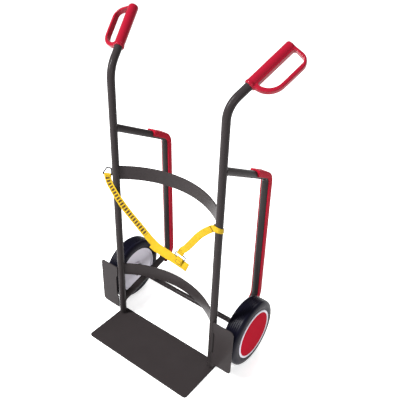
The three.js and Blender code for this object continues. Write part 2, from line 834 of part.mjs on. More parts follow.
function strap() {
  const toPoint = ([x, y, z]) => new THREE.Vector3(x, y, z);
  const outOfUpright = new THREE.Vector3(-Math.cos(EYE.turn), -Math.sin(EYE.turn), 0);
  const reach = TUBE_RADIUS + GAP + EYE.wire + EYE.width / 2;
  const eyeBar = new THREE.Vector3(-UPRIGHT_X, 0, EYE.bottom).addScaledVector(outOfUpright, reach);
  const eye = wireRing(EYE, EYE.topCorner, EYE.lowCorner);
  eye.rotateZ(EYE.turn + Math.PI);
  eye.translate(eyeBar.x, eyeBar.y, EYE.bottom + EYE.height / 2);
  piece('strap_eye', eye, BLACK_WIRE);

  const down = new THREE.Vector3(0, 0, -1);
  const seat = eyeBar.clone().addScaledVector(outOfUpright, -EYE.strapShift);
  const sewnStart = seat.clone().addScaledVector(down, HEM_LENGTH.eye - 2);
  const eyeFacing = outOfUpright.clone().cross(down).negate();
  const facing = toPoint(LONG_FACING).normalize();
  const longPoints = LONG_RUN.map(toPoint);
  const longRun = webbing([sewnStart, ...longPoints], eyeFacing, facing, LONG_TWIST, 32);
  const longHem = hem(EYE.wire, seat, outOfUpright, down, HEM_LENGTH.eye);
  const doubled = webbing(backLayer(longPoints, facing), facing, facing, 1, 8);
  piece('long_strap', join(longHem, longRun, doubled), YELLOW_WEBBING);

  const ringAt = new THREE.Vector3(RING.x, RING.y, RING.z);
  const along = new THREE.Vector3(Math.cos(RING.turn), 0, -Math.sin(RING.turn));
  const upward = new THREE.Vector3(0, Math.sin(RING.lean), Math.cos(RING.lean));
  upward.applyAxisAngle(new THREE.Vector3(0, 1, 0), RING.turn);
  const ring = wireRing(RING, RING.corner, RING.corner);
  ring.rotateX(-RING.lean);
  ring.rotateY(RING.turn);
  ring.translate(RING.x, RING.y, RING.z);
  piece('strap_ring', ring, BLACK_WIRE);

  const topBar = ringAt.clone().addScaledVector(upward, RING.height / 2);
  topBar.addScaledVector(along, RING.hemShift);
  const shortStart = topBar.clone().addScaledVector(upward, HEM_LENGTH.ring - 2);
  const tipAt = new THREE.Vector3(UPRIGHT_X + CHOKER.tipX + 3, CHOKER.tipY + 0.4, CHOKER.z + 6);
  const shortPoints = [shortStart, ...SHORT_RUN.map(toPoint), tipAt];
  const hemFacing = along.clone().cross(upward);
  const front = new THREE.Vector3(0, -1, 0);
  const shortRun = webbing(shortPoints, hemFacing, front, SHORT_TWIST, 20);
  const shortHem = hem(RING.wire, topBar, along, upward, HEM_LENGTH.ring);
  piece('short_strap', join(shortHem, shortRun, choker()), YELLOW_WEBBING);

  const lowBar = ringAt.clone().addScaledVector(upward, -RING.height / 2);
  lowBar.addScaledVector(along, RING.tabShift);
  const tab = hem(RING.wire, lowBar, along, upward.clone().negate(), HEM_LENGTH.tab);
  piece('ring_tab', tab, YELLOW_WEBBING);
}

// ---------------------------------------------------------------- assembly

piece('toe_plate', toePlate(), FRAME_PAINT);
for (const side of SIDES) {
  piece(`${side.name}_upright`, upright(side.sign), FRAME_PAINT);
  piece(`${side.name}_rear_frame`, rearFrame(side.sign), FRAME_PAINT);
  piece(`${side.name}_guard_plate`, guardPlate(side.sign), FRAME_PAINT);
  piece(`${side.name}_skid`, skid(side.sign), RED_PLASTIC);
  RIVET_HEIGHTS.forEach((height, i) => {
    piece(`${side.name}_skid_rivet_${i + 1}`, skidRivet(side.sign, height), BARE_STEEL);
  });
  handleGrip(side);
  wheel(side);
}
piece('upper_cross_bar', crossBar(UPPER_BAR), FRAME_PAINT);
piece('lower_cross_bar', crossBar(LOWER_BAR), FRAME_PAINT);
piece('axle', axle(), BARE_STEEL);
strap();

export default truck;
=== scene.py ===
import math

import bmesh
import bpy
import numpy as np
from mathutils import Matrix, Vector


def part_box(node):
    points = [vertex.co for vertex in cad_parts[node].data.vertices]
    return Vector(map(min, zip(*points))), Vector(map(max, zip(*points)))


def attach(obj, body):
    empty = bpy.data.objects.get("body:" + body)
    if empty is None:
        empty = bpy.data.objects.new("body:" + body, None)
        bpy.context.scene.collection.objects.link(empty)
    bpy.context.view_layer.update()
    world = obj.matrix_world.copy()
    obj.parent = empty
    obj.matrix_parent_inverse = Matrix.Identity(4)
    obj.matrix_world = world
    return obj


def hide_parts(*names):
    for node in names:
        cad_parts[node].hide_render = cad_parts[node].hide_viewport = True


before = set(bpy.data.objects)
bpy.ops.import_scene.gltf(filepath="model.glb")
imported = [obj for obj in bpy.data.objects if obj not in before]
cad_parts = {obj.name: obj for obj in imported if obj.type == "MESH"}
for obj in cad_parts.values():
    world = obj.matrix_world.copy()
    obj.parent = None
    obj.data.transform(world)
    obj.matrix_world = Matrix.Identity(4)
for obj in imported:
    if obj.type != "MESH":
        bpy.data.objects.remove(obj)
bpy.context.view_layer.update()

SIDES = (("left", -1), ("right", 1))
X_AXIS = np.array([1.0, 0.0, 0.0])
Z_AXIS = np.array([0.0, 0.0, 1.0])
FORWARD = np.array([0.0, -1.0, 0.0])


# -------- places read off the CAD

def node_box(node):
    low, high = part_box(node)
    return np.array(low), np.array(high)


def round_box(node):
    """Where a round piece on the axle's line starts and ends, and its radius."""
    low, high = node_box(node)
    return low[0], high[0], (high[2] - low[2]) / 2


UPRIGHT_LOW, _ = node_box("right_upright")
TUBE = -UPRIGHT_LOW[1]
UPRIGHT_X = UPRIGHT_LOW[0] + TUBE
FOOT_Z = UPRIGHT_LOW[2]
TOE_LOW, TOE_HIGH = node_box("toe_plate")
GAP = 0.0003  # clearance between touching pieces
TOE_TOP = FOOT_Z - GAP
_, AXLE_Y, AXLE_Z = sum(node_box("axle")) / 2
_, AXLE_END, AXLE_RADIUS = round_box("axle")
TYRE_IN, TYRE_OUT, TYRE_RADIUS = round_box("right_tyre")
RIM_IN, RIM_OUT, RIM_RADIUS = round_box("right_rim")
CAP_IN, CAP_OUT, CAP_RADIUS = round_box("right_hub_cap")
HUB_IN, HUB_OUT, HUB_RADIUS = round_box("right_hub")

# shape of the bends, the same as in the CAD
STRAIGHT_TOP = 1.007
HANDLE_BEND = 0.079
HANDLE_SPLAY = math.radians(20.9)
HANDLE_LEAN = math.radians(55.4)
HANDLE_TUBE = 0.203
ARM_ROOT_Z = 0.846
ARM_SLOPE = 0.51
MEMBER_TOP = 0.710
MEMBER_Y = 0.2664
MEMBER_LEAN = 0.0359
MEMBER_FOOT_Y = 0.2865
ARM_BEND = 0.040
FOOT_BEND = 0.046
FOOT_SLOPE = 0.24


# -------- materials

SHADE_SCALE, SHADE_SPREAD, SHEEN_SPREAD = 14.0, 0.08, 0.05


def new_material(name, color, roughness, metallic=0.0, specular=0.5):
    made = bpy.data.materials.new(name)
    made.use_nodes = True
    shader = made.node_tree.nodes["Principled BSDF"]
    shader.inputs["Base Color"].default_value = (*color, 1)
    shader.inputs["Roughness"].default_value = roughness
    shader.inputs["Metallic"].default_value = metallic
    shader.inputs["Specular IOR Level"].default_value = specular
    return made, shader


def add_node(material, kind, **values):
    node = material.node_tree.nodes.new(kind)
    for key, value in values.items():
        if key in node.inputs:
            node.inputs[key].default_value = value
        else:
            setattr(node, key, value)
    return node


def wire(material, value, target):
    """Links an output to the input, or sets the input to a number."""
    if isinstance(value, (int, float)):
        target.default_value = value
    else:
        material.node_tree.links.new(value, target)


def noise(material, spot, scale, detail):
    made = add_node(material, "ShaderNodeTexNoise", Scale=scale, Detail=detail)
    wire(material, spot.outputs["Object"], made.inputs["Vector"])
    return made.outputs["Fac"]


def blend(material, low, high, factor):
    """A colour between two colours, by the factor."""
    made = add_node(material, "ShaderNodeMix", data_type="RGBA")
    made.inputs["A"].default_value = (*low, 1)
    made.inputs["B"].default_value = (*high, 1)
    wire(material, factor, made.inputs["Factor"])
    return made


def bumped(material, shader, height, strength, distance):
    made = add_node(material, "ShaderNodeBump", Strength=strength, Distance=distance)
    wire(material, height, made.inputs["Height"])
    wire(material, made.outputs["Normal"], shader.inputs["Normal"])


def surface(name, color, roughness, metallic=0.0, spread=SHADE_SPREAD,
            grain=(700.0, 0.08, 0.0004), specular=0.5):
    """Slow changes of shade and sheen under a fine grain; grain is its scale, strength and depth."""
    material, shader = new_material(name, color, roughness, metallic, specular)
    spot = add_node(material, "ShaderNodeTexCoord")
    slow = noise(material, spot, SHADE_SCALE, 4.0)
    shade = blend(material, [c * (1 - spread) for c in color],
                  [min(1, c * (1 + spread)) for c in color], slow)
    wire(material, shade.outputs["Result"], shader.inputs["Base Color"])
    sheen = add_node(material, "ShaderNodeMapRange")
    sheen.inputs["To Min"].default_value = roughness - SHEEN_SPREAD
    sheen.inputs["To Max"].default_value = roughness + SHEEN_SPREAD
    wire(material, slow, sheen.inputs["Value"])
    wire(material, sheen.outputs["Result"], shader.inputs["Roughness"])
    scale, strength, distance = grain
    bumped(material, shader, noise(material, spot, scale, 3.0), strength, distance)
    return material


PAINT = surface("anthracite powder coat", (0.0275, 0.0232, 0.0238), 0.22,
                grain=(900.0, 0.03, 0.0003), specular=0.05)
RED = surface("red moulding", (0.240, 0.0048, 0.0170), 0.22, grain=(500.0, 0.02, 0.0003),
              specular=0.14)
SKID_RED = surface("satin red skid", (0.300, 0.0048, 0.0175), 0.50, grain=(500.0, 0.03, 0.0003),
                   specular=0.03)
DISC_RED = surface("matt red disc", (0.355, 0.0050, 0.0180), 0.60, grain=(500.0, 0.04, 0.0003),
                   specular=0.01)
BLACK = surface("black moulding", (0.012, 0.012, 0.014), 0.5)
RUBBER = surface("tyre rubber", (0.0048, 0.0046, 0.0105), 0.28, grain=(1200.0, 0.08, 0.0003),
                 specular=0.06)
RIM = surface("pale grey moulding", (0.60, 0.575, 0.65), 0.45, spread=0.04)
STEEL = surface("zinc-plated steel", (0.55, 0.56, 0.58), 0.32, 1.0)
WIRE = surface("black enamelled wire", (0.006, 0.006, 0.008), 0.3, specular=0.08)
THREAD = surface("dark stitching thread", (0.11, 0.030, 0.004), 0.8)


# woven webbing: the pitch of its ribs and of its cross threads, and the colours it varies between
RIB_PITCH, PICK_PITCH = 0.0016, 0.0022
DARK_YELLOW, BRIGHT_YELLOW = (0.34, 0.211, 0.0018), (0.51, 0.333, 0.0038)
DASH_BROWN = (0.045, 0.022, 0.006)
# printed dashes: where they start and end along the strap, their pitch, height and length
DASHES = (0.036, 0.285, 0.0118, 0.0150, 0.0070)


def webbing_material(name, dashes):
    """Woven yellow polyester. The UV map is in metres: U across the strap, V along it."""
    material, shader = new_material(name, BRIGHT_YELLOW, 0.75, specular=0.25)
    spot = add_node(material, "ShaderNodeTexCoord")
    split = add_node(material, "ShaderNodeSeparateXYZ")
    wire(material, spot.outputs["UV"], split.inputs["Vector"])
    across, along = split.outputs["X"], split.outputs["Y"]

    def calc(operation, *values, clamp=False):
        node = add_node(material, "ShaderNodeMath", operation=operation, use_clamp=clamp)
        for value, socket in zip(values, node.inputs):
            wire(material, value, socket)
        return node.outputs[0]

    rib = calc("SINE", calc("MULTIPLY", across, 2 * math.pi / RIB_PITCH))
    pick = calc("SINE", calc("MULTIPLY", along, 2 * math.pi / PICK_PITCH))
    weave = calc("MULTIPLY", rib, pick)
    bumped(material, shader, weave, 0.45, 0.0003)
    # colour follows the weave, so its dips are painted darker (painted shade); the noise adds random
    # tone
    tone_and_weave_shade = calc("ADD", calc("MULTIPLY", weave, 0.12), noise(material, spot, 60.0, 5.0), clamp=True)
    result = blend(material, DARK_YELLOW, BRIGHT_YELLOW, tone_and_weave_shade).outputs["Result"]
    if dashes:
        first, last, pitch, height, length = dashes
        inside = calc("MULTIPLY", calc("GREATER_THAN", along, first),
                      calc("LESS_THAN", along, last))
        phase = calc("FRACT", calc("DIVIDE", along, pitch))
        dash = calc("LESS_THAN", phase, length / pitch)
        stripe = calc("LESS_THAN", calc("ABSOLUTE", across), height / 2)
        mark = calc("MULTIPLY", calc("MULTIPLY", inside, dash), stripe)
        printed = blend(material, BRIGHT_YELLOW, DASH_BROWN, mark)
        wire(material, result, printed.inputs["A"])
        result = printed.outputs["Result"]
    wire(material, result, shader.inputs["Base Color"])
    return material


WEBBING = webbing_material("yellow webbing", None)
PRINTED_WEBBING = webbing_material("yellow webbing with dashes", DASHES)


# -------- mesh building

def new_object(name, data):
    made = bpy.data.objects.new(name, data)
    bpy.context.scene.collection.objects.link(made)
    return made


def mesh_object(name, vertices, faces, material, sharp=38, uv=None, welded=False):
    """A smooth mesh, sharp at edges over that angle; welded joins the points that coincide."""
    data = bpy.data.meshes.new(name)
    data.from_pydata([tuple(map(float, v)) for v in vertices], [], [tuple(f) for f in faces])
    if uv is not None:
        layer = data.uv_layers.new(name="strap")
        loop_vertex = np.zeros(len(data.loops), int)
        data.loops.foreach_get("vertex_index", loop_vertex)
        layer.data.foreach_set("uv", np.asarray(uv, np.float32)[loop_vertex].ravel())
    data.materials.append(material)
    work = bmesh.new()
    work.from_mesh(data)
    if welded:
        bmesh.ops.remove_doubles(work, verts=work.verts, dist=1e-7)
        bmesh.ops.dissolve_degenerate(work, edges=work.edges, dist=1e-8)
    bmesh.ops.recalc_face_normals(work, faces=work.faces)
    work.to_mesh(data)
    work.free()
    data.shade_smooth()
    data.set_sharp_from_angle(angle=math.radians(sharp))
    return new_object(name, data)


def settle(obj):
    """Turns the object's modifiers into its mesh."""
    graph = bpy.context.evaluated_depsgraph_get()
    baked = bpy.data.meshes.new_from_object(obj.evaluated_get(graph))
    old = obj.data
    obj.modifiers.clear()
    obj.data = baked
    bpy.data.meshes.remove(old)
    return obj


def fuse(name, objects):
    """Joins several meshes into one object with that name."""
    for other in bpy.context.selected_objects:
        other.select_set(False)
    for part in objects:
        part.select_set(True)
    bpy.context.view_layer.objects.active = objects[0]
    bpy.ops.object.join()
    joined = bpy.context.view_layer.objects.active
    joined.name = name
    joined.data.name = name
    return joined


def place(obj, body, slot, *nodes):
    """The piece rides its body and stands for the CAD nodes named, which are hidden; slot is not
    used.
    """
    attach(obj, body)
    if nodes:
        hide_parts(*nodes)


def painted(obj, *nodes):
    place(obj, "frame", "frame_paint", *nodes)


def unit(v):
    v = np.asarray(v, float)
    return v / np.linalg.norm(v)


def units(rows):
    return rows / np.linalg.norm(rows, axis=1, keepdims=True)


def rows_of(vector, count):
    return np.repeat(np.asarray(vector, float)[None], count, 0)


def tangents(points):
    return units(np.gradient(points, axis=0))


def travelled(points):
    """Distance along a line to each of its points."""
    return np.concatenate([[0], np.cumsum(np.linalg.norm(np.diff(points, axis=0), axis=1))])


def axes_at(x, y, z, origin):
    """The matrix that takes a piece's own axes and origin to these."""
    return Matrix([[x[i], y[i], z[i], origin[i]] for i in range(3)] + [[0, 0, 0, 1]])


def turn_between(before, after):
    return math.acos(max(-1.0, min(1.0, float(before @ after))))


def bent(corners, radii, steps, straight=1):
    """Points and directions along straight runs with rounded corners."""
    corners = [np.asarray(c, float) for c in corners]
    points, along = [corners[0]], [unit(corners[1] - corners[0])]
    for before_at, at, after_at, radius in zip(corners, corners[1:], corners[2:], radii):
        before, after = unit(at - before_at), unit(after_at - at)
        turn = turn_between(before, after)
        axis = unit(np.cross(before, after))
        inward = np.cross(axis, before)
        start = at - before * radius * math.tan(turn / 2)
        for k in range(straight):
            if k:
                previous = points[-1]
                points.append(previous + (start - previous) / (straight - k + 1))
                along.append(before)
        for k in range(steps + 1):
            angle = turn * k / steps
            points.append(start + inward * radius * (1 - math.cos(angle))
                          + before * radius * math.sin(angle))
            along.append(before * math.cos(angle) + inward * math.sin(angle))
    points.append(corners[-1])
    along.append(unit(corners[-1] - corners[-2]))
    return np.array(points), np.array(along)


def circle(radius, sides):
    angles = np.arange(sides) * 2 * math.pi / sides
    return np.stack([radius * np.cos(angles), radius * np.sin(angles)], 1)


def quads(rows, size, ring=False):
    """Faces between neighbouring rows of points; each row is closed on itself."""
    return [(a * size + j, a * size + (j + 1) % size, b * size + (j + 1) % size, b * size + j)
            for a, b in ((i, (i + 1) % rows) for i in range(rows if ring else rows - 1))
            for j in range(size)]


def stacked(rows, size):
    """Faces between rows of points, with both ends closed."""
    return quads(rows, size) + [tuple(range(size)), tuple(range((rows - 1) * size, rows * size))]


def swept(section, points, along, normals, ring=False):
    """Vertices and faces of a closed section carried along a line; capped, or closed on itself."""
    across = units(np.cross(along, normals))
    section = np.asarray(section, float)
    if section.ndim == 2:
        section = np.repeat(section[None], len(points), 0)
    rings = (points[:, None, :] + section[:, :, :1] * normals[:, None, :]
             + section[:, :, 1:] * across[:, None, :])
    count, size = rings.shape[:2]
    vertices = rings.reshape(-1, 3)
    faces = quads(count, size, ring)
    if not ring:
        faces.append(tuple(range(size - 1, -1, -1)))
        faces.append(tuple(range((count - 1) * size, count * size)))
    return vertices, faces


def tube(name, points, along, normal, sides):
    normals = rows_of(unit(normal), len(points))
    vertices, faces = swept(circle(TUBE, sides), points, along, normals)
    return mesh_object(name, vertices, faces, PAINT, sharp=50)


def rectangle(low, high):
    return [(low[0], low[1]), (high[0], low[1]), (high[0], high[1]), (low[0], high[1])]


def rounded(points, radii, steps):
    """A closed 2-D outline with its corners rounded."""
    outline = []
    points = [np.asarray(p, float) for p in points]
    count = len(points)
    for i, at in enumerate(points):
        before = unit(at - points[i - 1])
        after = unit(points[(i + 1) % count] - at)
        if radii[i] <= 0:
            outline.append(at)
            continue
        turn = turn_between(before, after)
        start = at - before * radii[i] * math.tan(turn / 2)
        side = np.array([-before[1], before[0]])
        side *= math.copysign(1, float(side @ after))
        for k in range(steps + 1):
            angle = turn * k / steps
            outline.append(start + side * radii[i] * (1 - math.cos(angle))
                           + before * radii[i] * math.sin(angle))
    return np.array(outline)


def slab(name, outline, placement, thickness, material, edge):
    """A flat plate cut to a 2-D outline, with softened edges. placement maps its plane and
    thickness to the truck's frame."""
    count = len(outline)
    low = [placement @ Vector((*p, 0)) for p in outline]
    high = [placement @ Vector((*p, thickness)) for p in outline]
    faces = [tuple(range(count - 1, -1, -1)), tuple(range(count, 2 * count))]
    faces += [(i, (i + 1) % count, count + (i + 1) % count, count + i) for i in range(count)]
    made = mesh_object(name, low + high, faces, material)
    if not edge:
        return made
    bevel = made.modifiers.new("edge", "BEVEL")
    bevel.width = edge
    bevel.segments = 3
    bevel.limit_method = "ANGLE"
    bevel.angle_limit = math.radians(50)
    return settle(made)


def lathe(name, profile, sign, material, segments, sharp=30):
    """A closed profile of (radius, distance from the mid-plane) pairs turned about the axle."""
    profile = np.asarray(profile, float)
    angles = np.arange(segments) * 2 * math.pi / segments
    size = len(profile)
    radius, x = profile[:, 0], profile[:, 1] * sign
    vertices = [(at, AXLE_Y + r * math.cos(angle), AXLE_Z + r * math.sin(angle))
                for angle in angles for r, at in zip(radius, x)]
    faces = [face for face in quads(segments, size, ring=True)
             if radius[face[0] % size] > 0 or radius[face[1] % size] > 0]
    return mesh_object(name, vertices, faces, material, sharp=sharp, welded=True)


RIPPLE_LENGTH = 0.0011


def weld_bead(points, radius, seed, closed=True):
    """A rippled bead of weld along the points."""
    random = np.random.default_rng(seed)
    points = np.asarray(points, float)
    if closed:
        along = units(np.roll(points, -1, 0) - np.roll(points, 1, 0))
    else:
        along = tangents(points)
    ripple = (1 + 0.16 * np.sin(travelled(points) / RIPPLE_LENGTH)
              + 0.08 * random.standard_normal(len(points)))
    helper = np.where(np.abs(along[:, :1]) > 0.9, Z_AXIS[None], X_AXIS[None])
    normals = units(np.cross(along, helper))
    section = circle(radius, 8)[None] * ripple[:, None, None]
    if not closed:
        section[0] *= 0.3
        section[-1] *= 0.3
    vertices, faces = swept(section, points, along, normals, ring=closed)
    return mesh_object("bead", vertices, faces, PAINT, sharp=80)


# -------- tubes, bars and plates

def on_foot(y):
    rest = (TUBE + AXLE_RADIUS + GAP) * math.hypot(1, FOOT_SLOPE)
    return AXLE_Z - rest + (y - AXLE_Y) * FOOT_SLOPE


def on_arm(y):
    return ARM_ROOT_Z - y * ARM_SLOPE


def on_member(z):
    return MEMBER_Y + (MEMBER_TOP - z) * MEMBER_LEAN


def frame_route(x, start_y, end_y, steps):
    """The rear frame's line: down the arm and the member, then forward along the foot."""
    arm_end = on_arm(MEMBER_Y)
    corners = [
        (x, start_y, on_arm(start_y)),
        (x, on_member(arm_end), arm_end),
        (x, MEMBER_FOOT_Y, on_foot(MEMBER_FOOT_Y)),
        (x, end_y, on_foot(end_y)),
    ]
    return bent(corners, [ARM_BEND, FOOT_BEND], steps)


def handle_line(sign):
    level = np.array([sign * math.sin(HANDLE_SPLAY), math.cos(HANDLE_SPLAY), 0])
    along = level * math.sin(HANDLE_LEAN) + Z_AXIS * math.cos(HANDLE_LEAN)
    start = np.array([sign * UPRIGHT_X, 0, STRAIGHT_TOP])
    start += level * HANDLE_BEND * (1 - math.cos(HANDLE_LEAN))
    start += Z_AXIS * HANDLE_BEND * math.sin(HANDLE_LEAN)
    return start, along, level


def upright(name, sign):
    start, along, level = handle_line(sign)
    x = sign * UPRIGHT_X
    corner = (x, 0, STRAIGHT_TOP + HANDLE_BEND * math.tan(HANDLE_LEAN / 2))
    tip = start + along * HANDLE_TUBE
    points, directions = bent([(x, 0, FOOT_Z), corner, tip], [HANDLE_BEND], 28)
    made = tube(f"{name}_upright_tube", points, directions, np.cross(Z_AXIS, level), 48)
    painted(made, f"{name}_upright")


def rear_frame(name, sign):
    points, directions = frame_route(sign * UPRIGHT_X, TUBE / 2, TUBE / 2, 20)
    made = tube(f"{name}_rear_frame_tube", points, directions, X_AXIS, 40)
    painted(made, f"{name}_rear_frame")


# skids: where they start and end along the arm and the foot, how far their lips reach past the
# tube's middle and how deep their backs lie, and the rounding of lips and back
SKID_START_Y, SKID_END_Y = 0.183, 0.256
SKID_LIP, SKID_BACK = 0.0035, -0.018
LIP_ROUNDING, BACK_ROUNDING = 0.0008, 0.0042
RIVET_RADIUS, RIVET_HEIGHT = 0.005, 0.0018


def skid(name, sign):
    low, high = node_box(f"{name}_skid")
    half = (high[0] - low[0]) / 2
    bore = TUBE + GAP
    inside = [(bore * math.cos(a), -bore * math.sin(a)) for a in np.linspace(math.pi, 0, 25)]
    corners = [(bore, SKID_LIP), (half, SKID_LIP), (half, SKID_BACK), (-half, SKID_BACK),
               (-half, SKID_LIP), (-bore, SKID_LIP)]
    outside = rounded(corners, [0, LIP_ROUNDING, BACK_ROUNDING, BACK_ROUNDING, LIP_ROUNDING, 0], 6)
    points, directions = frame_route(sign * UPRIGHT_X, SKID_START_Y, SKID_END_Y, 22)
    vertices, faces = swept(np.concatenate([inside, outside]), points, directions,
                            rows_of(X_AXIS, len(points)))
    made = mesh_object(f"{name}_skid_channel", vertices, faces, SKID_RED, sharp=50)
    place(made, "frame", "red_plastic", f"{name}_skid")


def rivet_head(node):
    """A domed head that leans with the skid's back."""
    low, high = node_box(node)
    centre = (low + high) / 2
    base = high[1] - RIVET_HEIGHT
    tilt = math.atan(MEMBER_LEAN)
    dome = [(RIVET_RADIUS * math.cos(a), base + RIVET_HEIGHT * math.sin(a) * 0.98)
            for a in np.linspace(0, math.pi / 2 * 0.98, 8)]
    rings = [(RIVET_RADIUS, base - 0.0006), *dome]
    vertices = [(centre[0] + x, y - z * tilt, centre[2] + z)
                for radius, y in rings for x, z in circle(radius, 28)]
    return mesh_object("head", vertices, stacked(len(rings), 28), STEEL)


def rivets(name):
    nodes = [f"{name}_skid_rivet_{k}" for k in (1, 2, 3)]
    made = fuse(f"{name}_skid_rivets", [rivet_head(node) for node in nodes])
    place(made, "frame", "steel", *nodes)


BAR_THICKNESS = 0.005


def bar_arc(node):
    """A bowed bar's CAD box, its outer radius and the Y of its arc's centre."""
    low, high = node_box(node)
    bow = high[1]
    radius = (UPRIGHT_X ** 2 + bow ** 2) / (2 * bow)
    return low, high, radius, bow - radius


def cross_bar(node):
    low, high, radius, centre_y = bar_arc(node)
    middle = radius - BAR_THICKNESS / 2
    reach = math.asin((UPRIGHT_X - TUBE * 0.45) / middle)
    angles = np.linspace(-reach, reach, 97)
    z = (low[2] + high[2]) / 2
    outward = np.array([(math.sin(a), math.cos(a), 0) for a in angles])
    along = np.array([(math.cos(a), -math.sin(a), 0) for a in angles])
    points = middle * outward + (0, centre_y, z)
    half_t, half_h = BAR_THICKNESS / 2, (high[2] - low[2]) / 2
    section = rounded(rectangle((-half_t, -half_h), (half_t, half_h)), [0.0012] * 4, 4)
    vertices, faces = swept(section, points, along, outward)
    made = mesh_object(f"{node}_strip", vertices, faces, PAINT, sharp=35)
    painted(made, node)


# corner radii of the flat plates, and the relief slot along each guard plate's weld edge
TOE_CORNER, GUARD_CORNER, CUT_CORNER = 0.012, 0.014, 0.001
SLOT_DEPTH, SLOT_LOW, SLOT_HIGH = 0.0075, 0.092, 0.200


def toe_plate():
    outline = rounded(rectangle(TOE_LOW, TOE_HIGH), [TOE_CORNER, TOE_CORNER, 0.002, 0.002], 10)
    shift = Matrix.Translation((0, 0, TOE_LOW[2]))
    made = slab("toe_plate_sheet", outline, shift, TOE_TOP - TOE_LOW[2], PAINT, 0.001)
    painted(made, "toe_plate")


def guard_plate(name, sign):
    low, high = node_box(f"{name}_guard_plate")
    inner, outer = sorted((abs(low[0]), abs(high[0])))
    points = [*rectangle((inner, low[2]), (outer, high[2])), (inner, SLOT_HIGH),
              (inner + SLOT_DEPTH, SLOT_HIGH - SLOT_DEPTH),
              (inner + SLOT_DEPTH, SLOT_LOW + SLOT_DEPTH), (inner, SLOT_LOW)]
    outline = rounded(points, [CUT_CORNER, GUARD_CORNER, GUARD_CORNER, CUT_CORNER,
                               0, CUT_CORNER, CUT_CORNER, 0], 10)
    outline = [(sign * p[0], p[1]) for p in outline]
    placement = axes_at(X_AXIS, Z_AXIS, FORWARD, (0, high[1], 0))
    made = slab(f"{name}_guard_sheet", outline, placement, high[1] - low[1], PAINT, 0.0008)
    painted(made, f"{name}_guard_plate")


# radii of the weld beads
TUBE_BEAD, FOOT_BEAD, BAR_BEAD, GUARD_BEAD, AXLE_BEAD = 0.0019, 0.0018, 0.0015, 0.0013, 0.0022


def saddle(x, root_z, slope):
    """Where a rear frame's tube, at that slope, meets the back of its upright."""
    along = unit((0, 1, slope))
    third = np.cross(along, X_AXIS)
    points = []
    for side, lift in circle(TUBE * 0.995, 96):
        y = math.sqrt(TUBE ** 2 - side ** 2) + 0.0004
        reach = (y - lift * third[1]) / along[1]
        points.append(np.array([x + side, 0, root_z]) + along * reach + third * lift)
    return points


def upright_beads(x):
    """Round the rear frame's two ends, and round the upright's foot on the toe plate."""
    beads = []
    for seed, root, slope in ((1, ARM_ROOT_Z, -ARM_SLOPE), (2, on_foot(0), FOOT_SLOPE)):
        beads.append(weld_bead(saddle(x, root, slope), TUBE_BEAD, seed))
    ring = [(x + a, b, TOE_TOP + 0.0006) for a, b in circle(TUBE + 0.0006, 90)]
    beads.append(weld_bead(ring, FOOT_BEAD, 3))
    return beads


def bar_beads(node, sign):
    """Down both faces of a cross bar, where it meets the upright."""
    low, high, radius, centre_y = bar_arc(node)
    beads = []
    for offset in (0.0004, -BAR_THICKNESS - 0.0004):
        arc = radius + offset
        reach = max(a for a in np.linspace(0.3, 1.0, 700)
                    if arc * math.sin(a) < UPRIGHT_X
                    and math.hypot(arc * math.sin(a) - UPRIGHT_X,
                                   centre_y + arc * math.cos(a)) > TUBE + 0.0003)
        at = (sign * arc * math.sin(reach), centre_y + arc * math.cos(reach))
        heights = np.linspace(low[2] + 0.001, high[2] - 0.001, 40)
        beads.append(weld_bead([(*at, z) for z in heights], BAR_BEAD, 4, False))
    return beads


def guard_beads(name, sign):
    """Along the guard plate's inner edge, below and above its slot."""
    low, high = node_box(f"{name}_guard_plate")
    inner = sign * min(abs(low[0]), abs(high[0]))
    return [weld_bead([(inner, low[1] + 0.0002, z) for z in np.linspace(start, end, 36)],
                      GUARD_BEAD, 5, False)
            for start, end in ((low[2] + 0.002, SLOT_LOW - 0.002),
                               (SLOT_HIGH + 0.002, high[2] - 0.002))]


def axle_beads(x):
    """Across the foot of the rear frame, in front of the axle and behind it."""
    beads = []
    for side in (-1, 1):
        y = AXLE_Y + side * AXLE_RADIUS * 0.86
        z = AXLE_Z - AXLE_RADIUS * 0.80 + side * AXLE_RADIUS * 0.6 * math.atan(FOOT_SLOPE)
        reach = np.linspace(-TUBE * 0.55, TUBE * 0.55, 16)
        beads.append(weld_bead([(x + r, y, z - 0.6 * r * r / TUBE) for r in reach], AXLE_BEAD, 6,
                               False))
    return beads


def welds(name, sign):
    x = sign * UPRIGHT_X
    made = fuse(f"{name}_welds", [
        *upright_beads(x), *bar_beads("upper_cross_bar", sign),
        *bar_beads("lower_cross_bar", sign), *guard_beads(name, sign), *axle_beads(x)])
    painted(made)


# -------- axle and wheels

# the wheel's ribs and web, and the seats in its hub
TYRE_RIBS, TYRE_GROOVE, TYRE_CROWN = 6, 0.0026, 0.0008
WEB_INNER, WEB_OUTER, BARREL_RADIUS = 0.265, 0.271, 0.091
WEB_FILLET, BOSS_FILLET, BOSS_WALL = 0.006, 0.003, 0.009
HUB_BORE, SEAT_DEPTH, BEARING_WIDTH = 0.015, 0.0037, 0.013
CLIP_GROOVE = 0.0054  # from the axle's end to the inner edge of the clip's groove


def axle():
    end = AXLE_END
    r, groove = AXLE_RADIUS, end - CLIP_GROOVE
    half = [(r, groove), (r - 0.001, groove + 0.0001), (r - 0.001, groove + 0.0019),
            (r, groove + 0.002), (r, end - 0.0015), (r - 0.0015, end), (0, end)]
    mirrored = [(a, -b) for a, b in reversed(half)]
    made = lathe("axle_bar", mirrored + half, 1, PAINT, 64)
    painted(made, "axle")


def smooth_curve(points, steps):
    """A curve through the points, with that many steps between neighbours."""
    points = [np.asarray(p, float) for p in points]
    padded = [2 * points[0] - points[1], *points, 2 * points[-1] - points[-2]]
    curve = []
    for a, b, c, d in zip(padded, padded[1:], padded[2:], padded[3:]):
        for t in np.arange(steps) / steps:
            curve.append(0.5 * (2 * b + (c - a) * t + (2 * a - 5 * b + 4 * c - d) * t ** 2
                                + (3 * b - a - 3 * c + d) * t ** 3))
    curve.append(points[-1])
    return np.array(curve)


